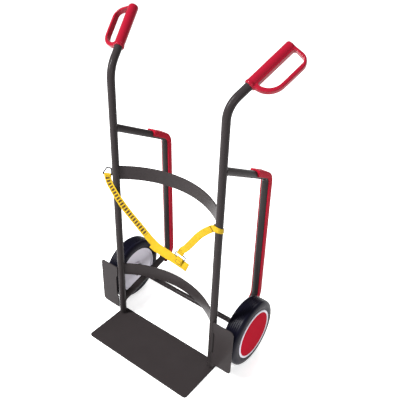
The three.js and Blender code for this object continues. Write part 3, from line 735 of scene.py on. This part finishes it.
def tyre_profile():
    crown = TYRE_RADIUS
    half = [(RIM_RADIUS + GAP, 0.001), (crown - 0.026, 0.0003), (crown - 0.019, 0.0),
            (crown - 0.010, 0.0018), (crown - 0.0035, 0.0055), (crown - 0.0010, 0.0095)]
    side = smooth_curve([(r, TYRE_IN + x) for r, x in half], 5)
    other = smooth_curve([(r, TYRE_OUT - x) for r, x in reversed(half)], 5)
    start, end = side[-1][1], other[0][1]
    tread = []
    width = (end - start) / TYRE_RIBS
    for k in range(TYRE_RIBS):
        x = start + k * width
        drop = TYRE_CROWN * ((2 * k + 1) / TYRE_RIBS - 1) ** 2
        if k:
            tread += [(crown - TYRE_GROOVE, x - width * 0.17),
                      (crown - TYRE_GROOVE, x + width * 0.17)]
        tread += [(crown - drop - 0.0004, x + width * 0.23), (crown - drop, x + width * 0.5),
                  (crown - drop - 0.0004, x + width * 0.77)]
    return np.array([*side, *tread, *other])


def rim_profile():
    face, back = RIM_OUT, RIM_IN
    r, cap, bore = RIM_RADIUS, CAP_RADIUS + GAP, HUB_RADIUS + GAP
    ledge, barrel = face - 0.0037, BARREL_RADIUS
    boss = HUB_RADIUS + BOSS_WALL
    lip = [(r - (r - cap) * 0.5 * (1 - math.cos(a)), face - 0.0012 + 0.0012 * math.sin(a))
           for a in np.linspace(0, math.pi, 9)]
    boss_fillet = [(boss + BOSS_FILLET * (1 - math.sin(a)),
                    WEB_INNER - BOSS_FILLET * (1 - math.cos(a)))
                   for a in np.linspace(math.pi / 2, 0, 5)]
    web_fillet = [(barrel - WEB_FILLET * (1 - math.sin(a)),
                   WEB_INNER - WEB_FILLET * (1 - math.cos(a)))
                  for a in np.linspace(0, math.pi / 2, 7)]
    return [
        (bore, WEB_INNER - 0.006), (boss - 0.001, WEB_INNER - 0.006), (boss, WEB_INNER - 0.005),
        *boss_fillet, *web_fillet,
        (barrel + 0.0022, back + 0.0006), (r - 0.0022, back), (r - 0.0006, back),
        (r, back + 0.0006), *lip,
        (cap, ledge), (CAP_RADIUS - 0.004, ledge), (CAP_RADIUS - 0.004, ledge - 0.003),
        (barrel, ledge - 0.006), (barrel, WEB_OUTER), (bore, WEB_OUTER),
    ]


def cap_profile():
    back, face = CAP_IN, CAP_OUT
    r = CAP_RADIUS
    edge = [(r - 0.0015 + 0.0015 * math.cos(a), face - 0.0018 + 0.0012 * math.sin(a))
            for a in np.linspace(0, math.pi / 2, 6)]
    return [(0, back), (r, back), *edge, (r - 0.006, face - 0.0006), (r - 0.009, face - 0.0001),
            (r * 0.6, face), (0, face)]


def hub_profile():
    seat, width = HUB_RADIUS - SEAT_DEPTH, BEARING_WIDTH
    start, end = HUB_IN, HUB_OUT
    return [(seat, start), (HUB_RADIUS - 0.001, start), (HUB_RADIUS, start + 0.001),
            (HUB_RADIUS, end - 0.001), (HUB_RADIUS - 0.001, end), (seat, end),
            (seat, end - width), (HUB_BORE, end - width), (HUB_BORE, start + width),
            (seat, start + width)]


def ring_profile(node):
    """A plain ring with softened edges, from a CAD node's box."""
    start, end, outer = round_box(node)
    start, end = sorted((abs(start), abs(end)))
    inner = AXLE_RADIUS + GAP
    edge = min(0.0004, (end - start) / 4)
    return [(inner, start), (outer - edge, start), (outer, start + edge), (outer, end - edge),
            (outer - edge, end), (inner, end)]


def wheel(name, sign):
    """The wheel's own pieces turn with it; the rings beside it stay on the axle."""
    body = f"{name}_wheel"
    for node, piece, profile, material, segments, slot in (
            ("tyre", "tyre_ribbed", tyre_profile(), RUBBER, 160, "tyre"),
            ("rim", "rim_moulding", rim_profile(), RIM, 128, "rim_plastic"),
            ("hub_cap", "cap_disc", cap_profile(), DISC_RED, 128, "red_plastic"),
            ("hub", "hub_sleeve", hub_profile(), BLACK, 72, "black_plastic")):
        made = lathe(f"{name}_{piece}", profile, sign, material, segments,
                     40 if node == "tyre" else 30)
        place(made, body, slot, f"{name}_{node}")
    for part, carrier, material, slot in (("inboard_bearing", body, STEEL, "steel"),
                                          ("outboard_bearing", body, STEEL, "steel"),
                                          ("axle_collar", "frame", PAINT, "frame_paint"),
                                          ("inner_washer", "frame", STEEL, "steel"),
                                          ("outer_washer", "frame", STEEL, "steel"),
                                          ("axle_clip", "frame", STEEL, "steel")):
        node = f"{name}_{part}"
        profile = ring_profile(node)
        if part == "axle_clip":
            for end in (0, -1):
                profile[end] = (AXLE_RADIUS - 0.0007, profile[end][1])
        place(lathe(f"{node}_ring", profile, sign, material, 64), carrier, slot, node)


# -------- handle grips

GRIP_START, GRIP_END, GRIP_RADIUS = 0.042, 0.211, 0.0169
COLLAR_RADIUS, COLLAR_END = 0.0184, 0.053
GUARD_WIDTH = 0.0198
GUARD_DROP = math.radians(12)
SKIN_VOXEL, SKIN_SMOOTHING = 0.0012, 14
GUARD_OUTLINE = [(0.004, 0.0434), (0.0756, 0.0539), (0.0766, 0.2096), (0.004, 0.2116)]
GUARD_WINDOW = [(0.0168, 0.0586), (0.0648, 0.0696), (0.0643, 0.1969), (0.0168, 0.2034)]


def grip(name, sign):
    start, along, _ = handle_line(sign)
    outward = unit(sign * (X_AXIS - along * along[0]))
    third = np.cross(along, outward)
    drop = sign * GUARD_DROP
    outward = outward * math.cos(drop) + third * math.sin(drop)
    third = np.cross(along, outward)
    placement = axes_at(outward, third, along, start)
    both = fuse(f"{name}_grip_moulding", [grip_sleeve(), grip_guard()])
    remesh = both.modifiers.new("skin", "REMESH")
    remesh.mode = "VOXEL"
    remesh.voxel_size = SKIN_VOXEL
    remesh.use_smooth_shade = True
    soften = both.modifiers.new("soften", "SMOOTH")
    soften.factor = 0.5
    soften.iterations = SKIN_SMOOTHING
    settle(both)
    both.data.transform(placement)
    both.data.materials.clear()
    both.data.materials.append(RED)
    both.data.shade_smooth()
    place(both, "frame", "red_plastic", f"{name}_handle_grip")


def grip_sleeve():
    """The sleeve with its collar, standing on the handle's own axis."""
    r = GRIP_RADIUS
    profile = [(1e-5, GRIP_START), (COLLAR_RADIUS - 0.0018, GRIP_START),
               (COLLAR_RADIUS, GRIP_START + 0.0018), (COLLAR_RADIUS, COLLAR_END - 0.003),
               (COLLAR_RADIUS - 0.0006, COLLAR_END - 0.0015), (r, COLLAR_END)]
    profile += [(r, COLLAR_END + (GRIP_END - 0.007 - COLLAR_END) * t)
                for t in (0.25, 0.5, 0.75, 1.0)]
    profile += [(r - 0.006 + 0.006 * math.cos(a), GRIP_END - 0.006 + 0.006 * math.sin(a))
                for a in np.linspace(0.2, math.pi / 2, 6)]
    profile.append((1e-5, GRIP_END))
    vertices = [(x, y, z) for radius, z in profile for x, y in circle(radius, 48)]
    return mesh_object("sleeve", vertices, stacked(len(profile), 48), RED)


def grip_guard():
    """The knuckle guard: a slab beside the sleeve with a window cut through it."""
    guard_frame = axes_at(X_AXIS, Z_AXIS, -FORWARD, (0, -GUARD_WIDTH / 2, 0))
    guard = slab("guard", rounded(GUARD_OUTLINE, [0, 0.060, 0.035, 0], 20), guard_frame,
                 GUARD_WIDTH, RED, 0.0036)
    opening_frame = Matrix.Translation((0, -GUARD_WIDTH, 0)) @ guard_frame
    opening = slab("opening", rounded(GUARD_WINDOW, [0.006, 0.046, 0.014, 0.006], 20),
                   opening_frame, 3 * GUARD_WIDTH, RED, 0)
    saw = guard.modifiers.new("window", "BOOLEAN")
    saw.object = opening
    saw.operation = "DIFFERENCE"
    saw.solver = "EXACT"
    settle(guard)
    bpy.data.objects.remove(opening)
    return guard


# -------- load strap

STRAP_WIDTH = 0.025
STRAP_THICKNESS = 0.0018
EYE_WIRE, EYE_WIDTH, EYE_HEIGHT, EYE_BOTTOM, EYE_TURN = 0.0024, 0.0345, 0.0275, 0.659, 0.42
EYE_TOP_INSET, EYE_TOP_CORNER, EYE_LOW_CORNER, EYE_SHIFT = 0.0175, 0.005, 0.0024, 0.0017
RING_WIRE, RING_WIDTH, RING_HEIGHT, RING_CORNER = 0.0018, 0.042, 0.013, 0.004
RING_TURN, RING_LEAN = 0.2, 0.506
RING_AT = np.array([0.083, -0.0172, 0.4652])
HEM_SHIFT, TAB_SHIFT = -0.004, 0.004  # along the ring's bars
HEM_EYE, HEM_RING, HEM_TAB = 0.012, 0.014, 0.022
LONG_RUN = np.array([
    (-241.5, -16, 626.6), (-222, -19.5, 609), (-200, -20.5, 586), (-173, -19.5, 560),
    (-142, -18, 534), (-101, -19, 508), (-62, -20, 483), (-38, -21, 470), (-15, -22, 461.5),
    (18.5, -22, 456), (52, -22, 450.5), (85, -22, 444.5), (118, -22, 437.5),
]) / 1000
LONG_FACING, LONG_TWIST = (0.45, -0.8, 0.4), 0.4
BACK_POINTS, BACK_GAP, FREE_DROP, FOLD_DROP = 6, 0.0021, 0.011, 0.0034
SHORT_RUN = np.array([
    (99.5, -8.5, 502), (115, -10, 524), (130, -12, 546), (156, -13.5, 584.5),
    (183, -15.5, 615.5),
]) / 1000
SHORT_TWIST = 0.15
CHOKER_Z, CHOKER_TIP, CHOKER_HEIGHT = 0.6325, (-0.018, -0.014), 0.021
FRONT_RISE, TOP_FALL, LOW_FALL = 0.42, 0.22, -0.14
STITCH_LENGTH, STITCH_GAP, THREAD_RADIUS = 0.0026, 0.0014, 0.00075
# seams of the ring's tab and of the short strap's hem: where they start and end, and half their width
TAB_SEAMS, HEM_SEAMS, SEAM_REACH = (0.0085, 0.0195), (0.0075, 0.0125), 0.010
LINE_STEP = 0.004  # between the points of a strap's line


def wire_ring(name, wire_radius, width, height, radii, top_inset, placement, node):
    a, b = width / 2, height / 2
    corners = [(-a, 0, 0), (-a, 0, b), (a - top_inset, 0, b), (a, 0, -b), (-a, 0, -b), (-a, 0, 0)]
    points, directions = bent(corners, radii, 10, 2)
    points, directions = points[:-1], directions[:-1]
    normals = rows_of((0, 1, 0), len(points))
    vertices, faces = swept(circle(wire_radius, 20), points, directions, normals, ring=True)
    made = mesh_object(name, vertices, faces, WIRE, sharp=60)
    made.data.transform(placement)
    place(made, "frame", "black_wire", node)


def at_distances(points, distances):
    return np.stack([np.interp(distances, travelled(points), points[:, k]) for k in range(3)], 1)


def resampled(points):
    """A smooth line through the points, in even steps."""
    curve = smooth_curve(points, 24)
    length = travelled(curve)[-1]
    return at_distances(curve, np.linspace(0, length, int(length / LINE_STEP) + 1))


def band(name, points, facing, material, waviness, seed, shift=None, width=None):
    """A strip of webbing along the points; facing is the way its flat side looks at each one.
    shift moves it sideways without turning it."""
    along = tangents(points)
    facing = units(facing - along * np.sum(facing * along, 1, keepdims=True))
    across = np.cross(along, facing)
    distance = travelled(points)
    random = np.random.default_rng(seed)
    phases = random.uniform(0, 2 * math.pi, 4)
    waves = np.broadcast_to(waviness, len(points))
    widths = np.full(len(points), STRAP_WIDTH) if width is None else width
    if shift is not None:
        points = points + shift
    count = 13
    u = np.linspace(-0.5, 0.5, count)
    t = STRAP_THICKNESS / 2
    rows, uv = [], []
    for p, f, w, d, size, wide in zip(points, facing, across, distance, waves, widths):
        wave = size * (math.sin(d / 0.021 + phases[0]) + 0.6 * math.sin(d / 0.013 + phases[1]))
        lean = size * 1.4 * math.sin(d / 0.017 + phases[2])
        top, low = [], []
        for value in u:
            lift = wave * 0.4 + lean * value * 2 - size * 0.45 * (2 * value) ** 2
            edge = 1 - 0.55 * max(0.0, (abs(value) - 0.46) / 0.04)
            base = p + w * wide * value + f * lift
            top.append(base + f * t * edge)
            low.append(base - f * t * edge)
        rows.append(top + low[::-1])
        uv += [(STRAP_WIDTH * v, d) for v in (*u, *u[::-1])]
    size = 2 * count
    vertices = [v for row in rows for v in row]
    faces = quads(len(rows), size)
    last = (len(rows) - 1) * size
    for j in range(count - 1):
        m, n = size - 1 - j, size - 2 - j
        faces.append((j, m, n, j + 1))
        faces.append((last + j, last + j + 1, last + n, last + m))
    made = mesh_object(name, vertices, faces, material, sharp=50, uv=uv)
    return made, float(distance[-1])


def folded(bar, wire_radius, normal, away, length):
    """Centre points and facings of a hem folded round a bar, from its sewn end to the free layer."""
    radius = wire_radius + GAP + STRAP_THICKNESS / 2
    near = radius * 1.6

    def layer(flat_side, distances):
        share = np.clip((distances - near) / 0.004, 0, 1)[:, None]
        offset = (STRAP_THICKNESS / 2 + 0.0001) * share + radius * 0.86 * (1 - share)
        return bar + flat_side * offset + away * distances[:, None]

    angles = np.linspace(-0.9, math.pi + 0.9, 22)[:, None]
    spokes = -normal * np.cos(angles) - away * np.sin(angles)
    points = [layer(-normal, np.linspace(length, near, 8)), bar + spokes * radius,
              layer(normal, np.linspace(near, length, 8))]
    return np.concatenate(points), np.concatenate([rows_of(-normal, 8), spokes, rows_of(normal, 8)])


def stitch_row(points, facing):
    """Short threads in a line on the webbing; their ends dip into it."""
    points = np.array(points)
    threads = []
    at = 0.0
    while at + STITCH_LENGTH < travelled(points)[-1]:
        ends = at_distances(points, (at, at + STITCH_LENGTH))
        centre = (ends[0] + ends[1]) / 2 + facing * 0.0002
        direction = unit(ends[1] - ends[0])
        line = np.array([centre + direction * s
                         for s in np.linspace(-STITCH_LENGTH / 2, STITCH_LENGTH / 2, 5)])
        line[0] -= facing * 0.0005
        line[-1] -= facing * 0.0005
        vertices, faces = swept(circle(THREAD_RADIUS, 6), line, tangents(line), rows_of(facing, 5))
        threads.append(mesh_object("thread", vertices, faces, THREAD, sharp=80))
        at += STITCH_LENGTH + STITCH_GAP
    return threads


def turning(run, first, last, share_of_run):
    """Facings that turn from first to last over the start of a run."""
    distance = travelled(run)
    share = np.clip(distance / distance[-1] / share_of_run, 0, 1)[:, None]
    return first * (1 - share) + last * share


def long_strap(out_of_upright, eye_bar):
    """From the eye's bar down across the truck, folded back behind itself at its end."""
    down = -Z_AXIS
    seat = eye_bar - out_of_upright * EYE_SHIFT
    eye_normal = unit(np.cross(out_of_upright, down))
    if eye_normal[1] > 0:
        eye_normal = -eye_normal
    hem, hem_facing = folded(seat, EYE_WIRE, eye_normal, down, HEM_EYE)
    run = resampled(np.array([hem[-1], *LONG_RUN]))[1:]
    facing = unit(LONG_FACING)
    run_facing = turning(run, eye_normal, facing, LONG_TWIST)
    ahead = unit(LONG_RUN[-1] - LONG_RUN[-BACK_POINTS])
    outward = unit(facing - ahead * (facing @ ahead))
    drop = unit(np.cross(ahead, outward))
    drop *= -math.copysign(1, drop[2])
    end = run[-1]
    angles = np.linspace(0, math.pi, 11)[1:, None]
    turn_facing = outward * np.cos(angles) + ahead * np.sin(angles)
    turn = end + (turn_facing - outward) * BACK_GAP / 2
    back_line = [at - outward * BACK_GAP for at in LONG_RUN[-BACK_POINTS:][::-1]]
    back = resampled(np.array(back_line))[1:]
    slide = np.concatenate([
        np.zeros(len(hem) + len(run)), FOLD_DROP * (1 - np.cos(angles[:, 0])) / 2,
        np.linspace(FOLD_DROP, FREE_DROP, len(back))])
    waves = np.where(np.arange(len(slide)) < len(hem) + len(run) * 0.6, 0.0005, 0.0)
    return band("long_strap_webbing", np.concatenate([hem, run, turn, back]),
                np.concatenate([hem_facing, run_facing, turn_facing,
                                rows_of(-outward, len(back))]),
                PRINTED_WEBBING, waves, 3, slide[:, None] * drop)


def short_strap(top_bar, normal, upward):
    """From the ring's upper bar to the sewn loop round the right upright."""
    hem, hem_facing = folded(top_bar, RING_WIRE, normal, upward, HEM_RING)
    tip = np.array(CHOKER_TIP)
    seam = np.array([UPRIGHT_X + tip[0] + 0.003, tip[1] + 0.0004, CHOKER_Z + 0.006])
    run = resampled(np.array([hem[-1], *SHORT_RUN, seam]))[1:-1]
    run_facing = turning(run, normal, FORWARD, SHORT_TWIST)
    radius = TUBE + GAP + STRAP_THICKNESS / 2
    spread = math.acos(radius / np.linalg.norm(tip))
    to_tip = math.atan2(tip[1], tip[0])
    angles = np.linspace(to_tip + spread, to_tip - spread + 2 * math.pi, 60)
    loop = radius * np.stack([np.cos(angles), np.sin(angles)], 1)
    start = np.array([tip + (loop[0] - tip) * s for s in (0.35, 0.55, 0.8)])
    end = np.array([loop[-1] + (tip - loop[-1]) * s for s in (0.3, 0.6, 0.9)])
    flat = np.concatenate([start, loop, end])
    centre_fall = (math.tan(TOP_FALL) + math.tan(LOW_FALL)) / 2
    narrowing = math.tan(TOP_FALL) - math.tan(LOW_FALL)
    choke = np.stack([UPRIGHT_X + flat[:, 0], flat[:, 1],
                      CHOKER_Z - flat[:, 1] * math.tan(FRONT_RISE)
                      - flat[:, 0] * centre_fall], 1)
    outward = np.stack([flat[:, 0], flat[:, 1], 0 * flat[:, 0]], 1)
    outward[:3] = (math.cos(angles[0]), math.sin(angles[0]), 0)
    outward[-3:] = (math.cos(angles[-1]), math.sin(angles[-1]), 0)
    widths = np.concatenate([
        np.full(len(hem) + len(run), STRAP_WIDTH),
        CHOKER_HEIGHT - flat[:, 0] * narrowing * math.cos(FRONT_RISE)])
    return band("short_strap_webbing", np.concatenate([hem, run, choke]),
                np.concatenate([hem_facing, run_facing, outward]), WEBBING, 0.0004, 7,
                width=widths), run


def box_seam(start, way, side, normal, seams):
    """Stitches along the four sides of a box, from the first seam's distance to the last's."""
    threads = []
    for s in seams:
        threads += stitch_row([start + way * s + side * w
                               for w in np.linspace(-SEAM_REACH, SEAM_REACH, 9)], normal)
    for w in (-SEAM_REACH, SEAM_REACH):
        threads += stitch_row([start + way * s + side * w for s in np.linspace(*seams, 9)], normal)
    return threads


def choker_seam(run):
    """Two rows of stitches across the short strap, just before its loop round the upright."""
    ahead = unit(run[-1] - run[-3])
    across = unit(np.cross(FORWARD, ahead))
    threads = []
    for back in (0.0, 0.0028):
        centre = run[-1] - ahead * back + FORWARD * (STRAP_THICKNESS / 2 + 0.0003)
        threads += stitch_row([centre + across * w for w in np.linspace(-0.0115, 0.0115, 9)],
                              FORWARD)
    return threads


def strap():
    out_of_upright = np.array([-math.cos(EYE_TURN), -math.sin(EYE_TURN), 0])
    reach = TUBE + GAP + EYE_WIRE + EYE_WIDTH / 2
    eye_bar = np.array([-UPRIGHT_X, 0, EYE_BOTTOM]) + out_of_upright * reach
    placement = (Matrix.Translation((eye_bar[0], eye_bar[1], EYE_BOTTOM + EYE_HEIGHT / 2))
                 @ Matrix.Rotation(EYE_TURN + math.pi, 4, "Z"))
    wire_ring("strap_eye_wire", EYE_WIRE, EYE_WIDTH, EYE_HEIGHT,
              [EYE_TOP_CORNER, EYE_TOP_CORNER, EYE_LOW_CORNER, EYE_LOW_CORNER], EYE_TOP_INSET,
              placement, "strap_eye")
    placement = (Matrix.Translation(RING_AT) @ Matrix.Rotation(RING_TURN, 4, "Y")
                 @ Matrix.Rotation(-RING_LEAN, 4, "X"))
    wire_ring("strap_ring_wire", RING_WIRE, RING_WIDTH, RING_HEIGHT, [RING_CORNER] * 4, 0,
              placement, "strap_ring")
    side, normal, upward = (np.array(placement.to_3x3().col[k]) for k in range(3))
    normal = -normal

    long_piece, long_length = long_strap(out_of_upright, eye_bar)
    place(long_piece, "frame", "webbing", "long_strap")
    top_bar = RING_AT + upward * RING_HEIGHT / 2 + side * HEM_SHIFT
    (short_piece, short_length), short_run = short_strap(top_bar, normal, upward)
    place(short_piece, "frame", "webbing", "short_strap")
    low_bar = RING_AT - upward * RING_HEIGHT / 2 + side * TAB_SHIFT
    hem, hem_facing = folded(low_bar, RING_WIRE, normal, -upward, HEM_TAB)
    tab_piece, tab_length = band("ring_tab_webbing", hem, hem_facing, WEBBING, 0.0, 9)
    place(tab_piece, "frame", "webbing", "ring_tab")

    threads = []
    for bar, way, seams in ((low_bar, -upward, TAB_SEAMS), (top_bar, upward, HEM_SEAMS)):
        threads += box_seam(bar + normal * (STRAP_THICKNESS + 0.0002), way, side, normal, seams)
    threads += choker_seam(short_run)
    stitches = fuse("strap_stitches", threads)
    place(stitches, "frame", "webbing")


# -------- build

toe_plate()
for side, sign in SIDES:
    upright(side, sign)
    rear_frame(side, sign)
    guard_plate(side, sign)
    skid(side, sign)
    rivets(side)
    grip(side, sign)
    wheel(side, sign)
    welds(side, sign)
cross_bar("upper_cross_bar")
cross_bar("lower_cross_bar")
axle()
strap()


# -------- floor, light and camera

FLOOR_REACH, FLOOR_Z = 60.0, -0.0002
LAMP_TARGET = np.array([0.0, 0.1, 0.6])
# name, place, watts, width, height
LAMPS = (("key", (-1.6, -2.2, 3.4), 340, 0.50, 2.4), ("fill", (3.0, -1.6, 2.2), 25, 1.0, 1.0),
         ("back", (-0.6, 3.0, 3.0), 40, 0.8, 1.6))
CAMERA_TURNS = 36.0421, 32.8701, 2.3205  # azimuth, elevation and roll in degrees
CAMERA_AT = np.array([1.012546, -1.192872, 1.664179])
CAMERA_LENS, CAMERA_SENSOR = 50.3564, 36.0  # millimetres


def studio():
    material, shader = new_material("pale floor", (0.93, 0.93, 0.93), 0.9)
    shader.inputs["Emission Color"].default_value = (1, 1, 1, 1)
    shader.inputs["Emission Strength"].default_value = 0.62
    spot = add_node(material, "ShaderNodeTexCoord")
    tint = blend(material, [0.92] * 3, [0.94] * 3, noise(material, spot, 3.0, 2.0))
    wire(material, tint.outputs["Result"], shader.inputs["Base Color"])
    corners = [(x, y, FLOOR_Z) for x, y in rectangle([-FLOOR_REACH] * 2, [FLOOR_REACH] * 2)]
    floor = mesh_object("floor", corners, [(0, 1, 2, 3)], material)
    world = bpy.data.worlds.new("studio")
    world.use_nodes = True
    background = world.node_tree.nodes["Background"]
    background.inputs["Color"].default_value = (1, 1, 1, 1)
    background.inputs["Strength"].default_value = 0.38
    bpy.context.scene.world = world
    for name, at, power, wide, tall in LAMPS:
        data = bpy.data.lights.new(name, "AREA")
        data.shape = "RECTANGLE"
        data.size = wide
        data.size_y = tall
        data.energy = power
        lamp = new_object(name, data)
        lamp.location = at
        lamp.rotation_mode = "QUATERNION"
        lamp.rotation_quaternion = Vector(LAMP_TARGET - np.array(at)).to_track_quat("-Z", "Y")


def camera():
    azimuth, elevation, roll = map(math.radians, CAMERA_TURNS)
    back = np.array([math.sin(azimuth) * math.cos(elevation),
                     -math.cos(azimuth) * math.cos(elevation), math.sin(elevation)])
    level = unit(np.cross(-back, Z_AXIS))
    up = np.cross(level, -back)
    right = math.cos(roll) * level + math.sin(roll) * up
    top = -math.sin(roll) * level + math.cos(roll) * up
    data = bpy.data.cameras.new("camera")
    data.sensor_width = CAMERA_SENSOR
    data.lens = CAMERA_LENS
    data.clip_start, data.clip_end = 0.05, 60
    made = new_object("camera", data)
    made.matrix_world = axes_at(right, top, back, CAMERA_AT)
    bpy.context.scene.camera = made


studio()
camera()
bpy.context.scene.view_settings.view_transform = "Standard"
bpy.context.view_layer.update()
